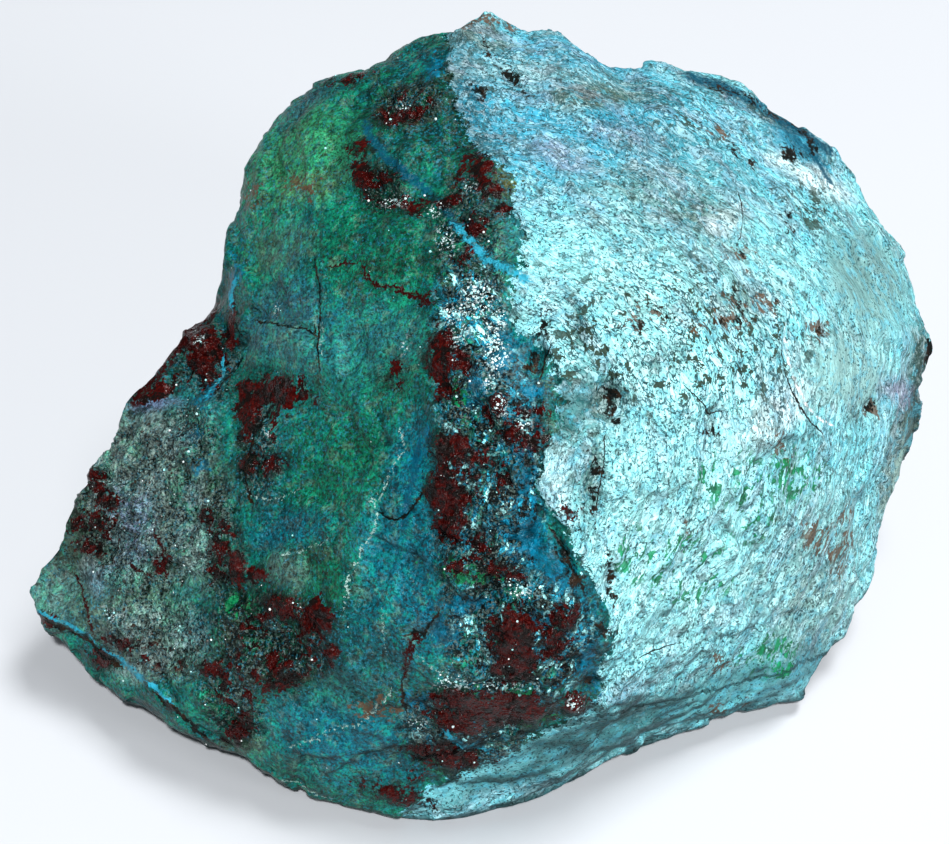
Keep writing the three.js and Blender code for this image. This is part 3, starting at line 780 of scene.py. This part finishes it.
def chips(graph, place, size):
    """Flat chips, each tilted its own way: their height, three random values, distance to the edge."""
    inputs = {"Vector": place, "Scale": 1 / size, "Randomness": 1.0}
    cells = graph.node("ShaderNodeTexVoronoi", inputs).outputs
    offset = graph.vector_math("SUBTRACT", place, cells["Position"])[0]
    slope = graph.vector_math("SUBTRACT", cells["Color"], (0.5, 0.5, 0.5))[0]
    height = graph.vector_math("DOT_PRODUCT", offset, slope)["Value"]
    edge = graph.node("ShaderNodeTexVoronoi", inputs, feature="DISTANCE_TO_EDGE").outputs["Distance"]
    return height, graph.parts(cells["Color"]), edge


# Widths of the random patterns, in millimetres.
COARSE_SIZE = 1.6
FINE_SIZE = 0.42
PLATE_SIZE = 2.1
FLAKE_SIZE = 0.7
WAVER_SIZE = 1.3
WAVER_REACH = 2.2  # how far the chips and fibres waver, end to end


class RockGrain:
    """The random patterns and stored values that the stone's colours and fine relief are made from."""

    def __init__(self, graph):
        self.graph = graph
        place = graph.node("ShaderNodeTexCoord").outputs["Object"]
        self.coarse = graph.parts(graph.noise(place, 1 / (COARSE_SIZE * MM), 3.0, 0.68))
        self.fine = graph.parts(graph.noise(place, 1 / (FINE_SIZE * MM), 2.0, 0.65))
        mottle = graph.attribute("mottle", "Vector")
        self.broad = graph.node("ShaderNodeSeparateXYZ", {"Vector": mottle}).outputs
        flow = graph.attribute("flow_place", "Vector")
        waver = graph.noise(flow, 1 / WAVER_SIZE, 2.0, 0.6)
        waver = graph.vector_math("SUBTRACT", waver, (0.5, 0.5, 0.5))[0]
        flow = graph.vector_math("MULTIPLY_ADD", waver, (WAVER_REACH,) * 3, flow)[0]
        self.fibres = graph.noise(flow, 0.55, 3.0, 0.68, "Fac")
        self.plate_height, self.plate_shade, _ = chips(graph, flow, PLATE_SIZE)
        self.flake_height, self.flake_shade, flake_edge = chips(graph, flow, FLAKE_SIZE)
        # the dark gaps at the edges of the flakes: partly dark joints, partly painted shade in the recesses
        self.shaded_gaps = graph.times(graph.ramp(flake_edge, 0.11, 0.03), graph.ramp(self.coarse[1], 0.40, 0.52))
        self.rough = graph.attribute("rough")
        self.ridge = graph.attribute("ridge")
        self.druse = graph.attribute("druse")
        self.flaky = graph.attribute("flaky")
        self.jagged = graph.most(self.rough, self.ridge)
        self.rugged = graph.sum(graph.attribute("smooth"), 1.0, -0.8)

    def clustered(self, channel, fine_channel=None):
        """Noise that runs higher in some areas than in others."""
        value = self.coarse[channel] if fine_channel is None else self.fine[fine_channel]
        return self.graph.sum(self.graph.sum(self.broad[channel], -0.5), value, 0.3)

    def wobble(self, channel, coarse_reach=5.0, fine_reach=2.0):
        """A random shift to either side of nought that roughens a border."""
        far = self.graph.sum(self.coarse[channel], -0.5 * coarse_reach, coarse_reach)
        near = self.graph.sum(self.fine[(channel + 1) % 3], -0.5 * fine_reach, fine_reach)
        return self.graph.sum(far, near)

    def patch(self, name, wobble, softness=0.1):
        """Where a stored field is more than 0, its border roughened by the wobble."""
        return self.graph.ramp(self.graph.sum(wobble, self.graph.attribute(name)), -softness, softness)

    def line(self, name, wobble, softness=0.35):
        """Where a stored line runs, wandering by the wobble."""
        graph = self.graph
        offset = graph.math("ABSOLUTE", graph.sum(wobble, graph.attribute(name + "_offset")))
        return graph.times(graph.ramp(offset, 1 + softness, 1 - softness), graph.attribute(name + "_near"))


def broken_colour(graph, grain):
    """Broken faces: mottled, with a fine grain, and coarse chips of many colours where the rock is rough."""
    coarse, fine, broad, clustered = grain.coarse, grain.fine, grain.broad, grain.clustered
    rough, ridge, jagged = grain.rough, grain.ridge, grain.jagged
    dark_share = graph.most(ridge, graph.times(rough, graph.sum(grain.druse, 0.7, -0.5)))
    colour = graph.attribute("broken_tone", "Color")
    colour = graph.lay(colour, "malachite", clustered(0), 0.49, 0.58, 0, 0.45)
    colour = graph.lay(colour, "teal", clustered(1), 0.50, 0.59, 0, 0.45)
    colour = graph.lay(colour, "drab", clustered(2), 0.54, 0.62, 0, 0.35)
    colour = graph.shade(colour, grain.fibres, 0.36, 0.62, 0.92, 1.08)
    colour = graph.lay(colour, "azure", grain.flake_shade[0], 0.62, 0.66, where=ridge)
    colour = graph.lay(colour, "sky", grain.flake_shade[1], 0.68, 0.72, where=ridge)
    colour = graph.lay(colour, "ice", grain.flake_shade[2], 0.76, 0.80, where=ridge)
    colour = graph.lay(colour, "malachite", grain.plate_shade[1], 0.66, 0.72, 0, 0.5, rough)
    colour = graph.lay(colour, "umber", grain.plate_shade[2], 0.70, 0.76, 0, 0.5, rough)
    unevenness = graph.times(graph.sum(coarse[0], -0.5), graph.sum(jagged, 3.2, 4.0))
    colour = graph.scaled(colour, graph.most(graph.sum(unevenness, 1.05), 0.12))
    colour = graph.shade(colour, fine[0], 0.34, 0.66, 0.62, 1.42)
    colour = graph.shade(colour, broad[0], 0.32, 0.68, 0.64, 1.42)
    colour = graph.lay(colour, "near black", clustered(2), 0.49, 0.45, where=dark_share)
    # near black in the gaps between chips: partly dark joints, partly painted shade
    colour = graph.blend(graph.times(grain.shaded_gaps, graph.sum(jagged, 0.05, 0.8)), colour, "near black")
    colour = graph.lay(colour, "umber", clustered(2, 2), 0.56, 0.62, 0, 0.6)
    colour = graph.lay(colour, "steel blue", clustered(1, 1), 0.57, 0.63, 0, 0.45)
    colour = graph.lay(colour, "sage", clustered(1, 2), 0.54, 0.58, 0, 0.25, rough)
    return graph.lay(colour, "near black", clustered(0, 0), 0.42, 0.38, 0, graph.sum(rough, 0.35, 0.45))


def crust_colour(graph, grain):
    """Crust: pale flakes along the fibres, dark gaps between them, partly dark joints and partly painted
    shade in the recesses, and clusters of fine specks.
    """
    clustered, flaky, rugged = grain.clustered, grain.flaky, grain.rugged
    colour = graph.attribute("crust_tone", "Color")
    colour = graph.lay(colour, "mauve", grain.plate_shade[0], 0.74, 0.80, 0, 0.3, rugged)
    colour = graph.lay(colour, "drab", grain.plate_shade[1], 0.78, 0.84, 0, 0.3, rugged)
    colour = graph.lay(colour, "turquoise", clustered(0), 0.50, 0.60, 0, 0.4)
    colour = graph.shade(colour, grain.flake_shade[0], 0.0, 1.0, 0.86, 1.12)
    colour = graph.shade(colour, grain.fibres, 0.36, 0.54, 0.78, 1.06)
    pale = graph.blend(0.45, graph.scaled(colour, 1.6), "chalk")
    pale_share = graph.times(graph.sum(flaky, 0.3, 0.5), rugged)
    colour = graph.lay(colour, pale, grain.flake_shade[1], 0.6, 0.85, where=pale_share)
    colour = graph.lay(colour, pale, clustered(1), 0.54, 0.60, 0, 0.6, rugged)
    colour = graph.lay(colour, pale, grain.fine[1], 0.56, 0.62, 0, 0.5, rugged)
    # gap grey in the gaps between flakes: partly dark joints, partly painted shade
    gap_share = graph.times(graph.times(grain.shaded_gaps, rugged), graph.sum(flaky, 0.6, 0.35))
    colour = graph.blend(gap_share, colour, "gap grey")
    colour = graph.lay(colour, "gap grey", clustered(0, 0), 0.585, 0.62, 0, 0.85)
    speck_share = graph.times(rugged, graph.sum(flaky, 0.5, 0.5))
    return graph.lay(colour, "dark skin", clustered(2), 0.575, 0.60, where=speck_share)


def with_patches(graph, grain, colour):
    """Adds the tan, green and blue patches and the dark blue veins."""
    coarse, wobble = grain.coarse, grain.wobble
    tan = grain.patch("tan", wobble(1, 8), 0.3)
    colour = graph.lay(colour, "tan", grain.flake_shade[1], 0.35, 0.45, 0.1, 0.9, tan)
    flakes = graph.times(graph.ramp(grain.flake_shade[2], 0.72, 0.76), graph.ramp(coarse[1], 0.46, 0.51))
    flakes = graph.times(flakes, graph.ramp(graph.attribute("green_speckle"), -0.5, 1.5))
    solid = graph.times(grain.patch("green", wobble(2, 8)), graph.ramp(grain.flake_shade[0], 0.3, 0.4))
    tone = graph.shade(linear("fresh green")[:3], coarse[0], 0.30, 0.68, 0.4, 1.4)
    colour = graph.blend(graph.times(graph.most(solid, flakes), 0.92), colour, tone)
    tone = graph.lay("azure", "vivid blue", coarse[2], 0.40, 0.60)
    tone = graph.shade(tone, coarse[1], 0.40, 0.60, 0.25, 1.15)
    colour = graph.blend(graph.times(grain.patch("blue", wobble(0, 6, 4), 0.3), 0.8), colour, tone)
    vein = grain.line("vein_blue", wobble(0, 3, 2), 0.5)
    return graph.lay(colour, "vein blue", coarse[1], 0.40, 0.55, 0.6, 0.95, vein)


def blood_share(graph, grain):
    """Where the dark red is: solid patches and loose grains."""
    grains = graph.times(graph.ramp(grain.coarse[0], 0.53, 0.56),
                         graph.ramp(graph.attribute("blood_speckle"), -0.3, 1.5))
    return graph.most(grain.patch("blood", grain.wobble(1)), grains)


def with_blood(graph, grain, colour, blood):
    """Adds the dark red, with a black fringe."""
    tone = graph.lay("blood", "rust", grain.fine[0], 0.42, 0.70)
    tone = graph.lay(tone, "near black", grain.coarse[2], 0.49, 0.57, 0, 0.85)
    fringe = graph.sum(grain.wobble(2, 4, 4), graph.attribute("blood"))
    fringe = graph.ramp(fringe, -0.75, -0.25)
    colour = graph.lay(colour, "near black", grain.coarse[0], 0.44, 0.54, 0, 0.85, fringe)
    return graph.blend(blood, colour, tone)


def with_fine_marks(graph, grain, colour):
    """Adds the thin lines, some of them painted highlights, the painted white glints, the dark marks, the
    cracks with painted step shadows, and painted shade on the underside and lowest rim.
    """
    coarse, fine, wobble, line = grain.coarse, grain.fine, grain.wobble, grain.line
    colour = graph.blend(line("rust", wobble(2, 8, 6)), colour, "blood")
    colour = graph.lay(colour, "sky", coarse[2], 0.38, 0.50, 0.35, 0.9, line("cyan", wobble(0, 5, 4)))
    # pale lines in sage: mostly painted highlight along step and facet edges
    colour = graph.lay(colour, "sage", fine[2], 0.50, 0.56, where=line("pale", wobble(1, 12, 14)))
    # painted highlight: a white line along the crust's ridge
    ridge_highlight = line("white", wobble(0, 6, 3), 0.6)
    colour = graph.lay(colour, "white", coarse[1], 0.44, 0.54, 0.15, 0.95, ridge_highlight)
    # painted highlight: chalk-white specks stand in for glints where the sparkle value is high
    colour = graph.lay(colour, "chalk", fine[2], 0.57, 0.61, where=graph.attribute("sparkle"))
    # cracks, and painted shadow lines below step edges
    dark = graph.most(grain.patch("dark", wobble(2, 4.0, 2.4), 0.25), line("crack_and_step_shadow", wobble(2, 8, 3)))
    colour = graph.blend(dark, colour, graph.lay("near black", "umber", coarse[0], 0.46, 0.60))
    # painted shade: near black laid over the underside and the lowest rim above the floor
    return graph.blend(graph.times(graph.attribute("under"), 0.8), colour, "near black")


def fine_height(graph, grain):
    """The finest relief, in millimetres: grain and chips on broken rock, fibres and flakes on the crust."""
    broken = graph.times(grain.coarse[0], graph.sum(grain.rough, 0.7, 0.8))
    crust = graph.sum(grain.fibres, graph.times(grain.coarse[0], 0.3), 0.9)
    on_crust = graph.ramp(graph.attribute("crust"), -0.5, 0.5)
    height = graph.node("ShaderNodeMix", {0: on_crust, 2: broken, 3: crust}, data_type="FLOAT").outputs[0]
    chip_height = graph.times(graph.sum(grain.plate_height, grain.flake_height), 0.6)
    chip_share = graph.most(graph.times(on_crust, grain.rugged), graph.times(grain.jagged, 0.8))
    return graph.sum(chip_height, height, chip_share)


def stone_material():
    material, graph = new_material("chrysocolla rock")
    grain = RockGrain(graph)
    crust_share = grain.patch("crust", grain.wobble(0))
    blood = blood_share(graph, grain)
    colour = graph.blend(crust_share, broken_colour(graph, grain), crust_colour(graph, grain))
    colour = graph.lay(colour, "sage", grain.fine[0], 0.52, 0.62, 0, 0.3, grain.druse)
    colour = graph.lay(colour, "umber", grain.fine[1], 0.54, 0.64, 0, 0.3, grain.druse)
    colour = with_patches(graph, grain, colour)
    colour = with_blood(graph, grain, colour, blood)
    colour = with_fine_marks(graph, grain, colour)
    shine = graph.most(blood, graph.times(grain.druse, 0.8))
    roughness = graph.sum(shine, graph.sum(crust_share, 0.34, 0.34), -0.2)
    inputs = {"Strength": 1.0, "Distance": MM, "Height": fine_height(graph, grain)}
    normal = graph.node("ShaderNodeBump", inputs).outputs["Normal"]
    inputs = {"Base Color": colour, "Roughness": roughness, "Normal": normal, "Specular IOR Level": 0.14}
    finish_material(graph, inputs)
    return material


# ---------- crystals that stand on the skin ----------

CRYSTAL_INPUTS = {
    "Geometry": "Geometry", "Share Name": "String", "Most per mm2": "Float", "Smallest": "Float",
    "Largest": "Float", "Seed": "Int", "Material": "Material",
}
PER_SQUARE_METRE = 1e6  # turns a number per square millimetre into one per square metre
CRYSTAL_CLEARANCE = 0.4  # millimetres that the crystals stay above the floor


def crystal_material(name, darker, lighter, roughness):
    material, graph = new_material(name)
    colour = graph.blend(graph.attribute("shade"), darker, lighter)
    finish_material(graph, {"Base Color": colour, "Roughness": roughness})
    return material


def crystal_group():
    """Scatters small crystals over the faces of a mesh, as thick as one of its attributes says."""
    tree = bpy.data.node_groups.new("scattered crystals", "GeometryNodeTree")
    for name, kind in CRYSTAL_INPUTS.items():
        tree.interface.new_socket(name, in_out="INPUT", socket_type="NodeSocket" + kind)
    tree.interface.new_socket("Geometry", in_out="OUTPUT", socket_type="NodeSocketGeometry")
    graph = Graph(tree)
    given = graph.node("NodeGroupInput").outputs
    seed = {"Seed": given["Seed"]}
    inputs = {"Name": given["Share Name"]}
    share = graph.node("GeometryNodeInputNamedAttribute", inputs, data_type="FLOAT").outputs[0]
    density = graph.times(graph.times(share, given["Most per mm2"]), PER_SQUARE_METRE)
    inputs = {"Mesh": given["Geometry"], "Density": density, **seed}
    places = graph.node("GeometryNodeDistributePointsOnFaces", inputs).outputs["Points"]
    inputs = {1: (6.28, 6.28, 6.28), **seed}
    turn = graph.node("FunctionNodeRandomValue", inputs, data_type="FLOAT_VECTOR").outputs[0]
    chance = graph.node("FunctionNodeRandomValue", seed, data_type="FLOAT").outputs[1]
    chance = graph.math("POWER", chance, 3.0)
    spread = graph.math("SUBTRACT", given["Largest"], given["Smallest"])
    width = graph.sum(chance, given["Smallest"], spread)
    crystal = graph.node("GeometryNodeMeshIcoSphere", {"Radius": 0.5, "Subdivisions": 1}).outputs["Mesh"]
    inputs = {"Points": places, "Instance": crystal, "Rotation": turn, "Scale": width}
    crystals = graph.node("GeometryNodeInstanceOnPoints", inputs).outputs[0]
    shade = graph.node("FunctionNodeRandomValue", {"Seed": 5}, data_type="FLOAT").outputs[1]
    inputs = {"Geometry": crystals, "Name": "shade", "Value": shade}
    settings = {"data_type": "FLOAT", "domain": "INSTANCE"}
    crystals = graph.node("GeometryNodeStoreNamedAttribute", inputs, **settings).outputs[0]
    crystals = graph.node("GeometryNodeRealizeInstances", {"Geometry": crystals}).outputs[0]
    inputs = {"Geometry": crystals, "Material": given["Material"]}
    graph.node("NodeGroupOutput", {"Geometry": graph.node("GeometryNodeSetMaterial", inputs).outputs[0]})
    return tree


def scatter_crystals(name, skin, group, share_name, settings, material):
    """A piece made of crystals. settings: most per square millimetre, least and greatest width, seed."""
    bearer = add_object(name + "_bearer", skin.data.copy())
    modifier = bearer.modifiers.new("crystals", "NODES")
    modifier.node_group = group
    per_area, smallest, largest, seed = settings
    values = {
        "Share Name": share_name, "Most per mm2": per_area, "Smallest": smallest * MM,
        "Largest": largest * MM, "Seed": seed, "Material": material,
    }
    for item in group.interface.items_tree:
        if item.in_out == "INPUT" and item.name in values:
            modifier[item.identifier] = values[item.name]
    bpy.context.view_layer.update()
    evaluated = bearer.evaluated_get(bpy.context.evaluated_depsgraph_get())
    mesh = bpy.data.meshes.new_from_object(evaluated)
    bpy.data.objects.remove(bearer)
    set_points(mesh, inside_box(points_of(mesh), CRYSTAL_CLEARANCE))
    return add_object(name, mesh)


# ---------- camera, light and floor ----------

AIM = Vector((-1.6, -6.8, 36)) * MM
CAMERA_DISTANCE = 305 * MM
CAMERA_LENS = 90
CAMERA_SENSOR = 36
FLOOR_SIZE = 3.0  # metres
FLOOR_COLOUR = (0.62, 0.645, 0.68, 1)
SKY_COLOUR = (0.9, 0.94, 1.0, 1)
SKY_STRENGTH = 0.12

# Square soft lights: direction from the stone, distance and width in metres, power in watts.
LIGHTS = {
    "key light": ((0.35, 0.12, 1.1), 1.2, 0.4, 10.8),
    "front light": ((0.05, -0.60, 0.80), 1.5, 0.07, 18.5),
    "right light": ((0.75, -0.60, 0.45), 1.3, 0.3, 3.9),
}


def look_back(thing, direction, distance):
    """Puts a camera or a light so far from the stone in a direction, facing it."""
    direction = Vector(direction).normalized()
    thing.location = AIM + direction * distance
    thing.rotation_euler = direction.to_track_quat("Z", "Y").to_euler()


def add_camera():
    camera_data = bpy.data.cameras.new("camera")
    camera_data.lens = CAMERA_LENS
    camera_data.sensor_width = CAMERA_SENSOR
    camera = add_object("camera", camera_data)
    look_back(camera, OUTWARD, CAMERA_DISTANCE)
    bpy.context.scene.camera = camera


def add_lights():
    for name, (direction, distance, width, power) in LIGHTS.items():
        light_data = bpy.data.lights.new(name, "AREA")
        light_data.size = width
        light_data.energy = power
        look_back(add_object(name, light_data), direction, distance)


def add_floor():
    bpy.ops.mesh.primitive_plane_add(size=FLOOR_SIZE, location=(0, 0, 0))
    floor = bpy.context.active_object
    floor.name = "floor"
    material, graph = new_material("pale floor")
    finish_material(graph, {"Base Color": FLOOR_COLOUR, "Roughness": 0.9})
    floor.data.materials.append(material)


def add_sky():
    world = bpy.data.worlds.new("studio")
    world.use_nodes = True
    background = world.node_tree.nodes["Background"]
    background.inputs["Color"].default_value = SKY_COLOUR
    background.inputs["Strength"].default_value = SKY_STRENGTH
    bpy.context.scene.world = world
    bpy.context.scene.view_settings.view_transform = "Standard"


add_camera()
add_floor()
add_sky()
add_lights()
skin = make_skin()
skin.data.materials.append(stone_material())
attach(skin, "root")
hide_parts(NODE)
group = crystal_group()
# The bright crystals are coloured ice to white: pale crystals whose whiteness is partly a painted highlight
# standing in for glints.
glints = scatter_crystals("bright_crystals", skin, group, "glint_share", (6.0, 0.09, 0.45, 3),
                          crystal_material("bright crystal", "ice", "white", 0.12))
druse = scatter_crystals("druse_crystals", skin, group, "druse_share", (1.3, 0.2, 0.6, 8),
                         crystal_material("grey green crystal", "umber", "grey teal", 0.25))
for grains in (glints, druse):
    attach(grains, "root")
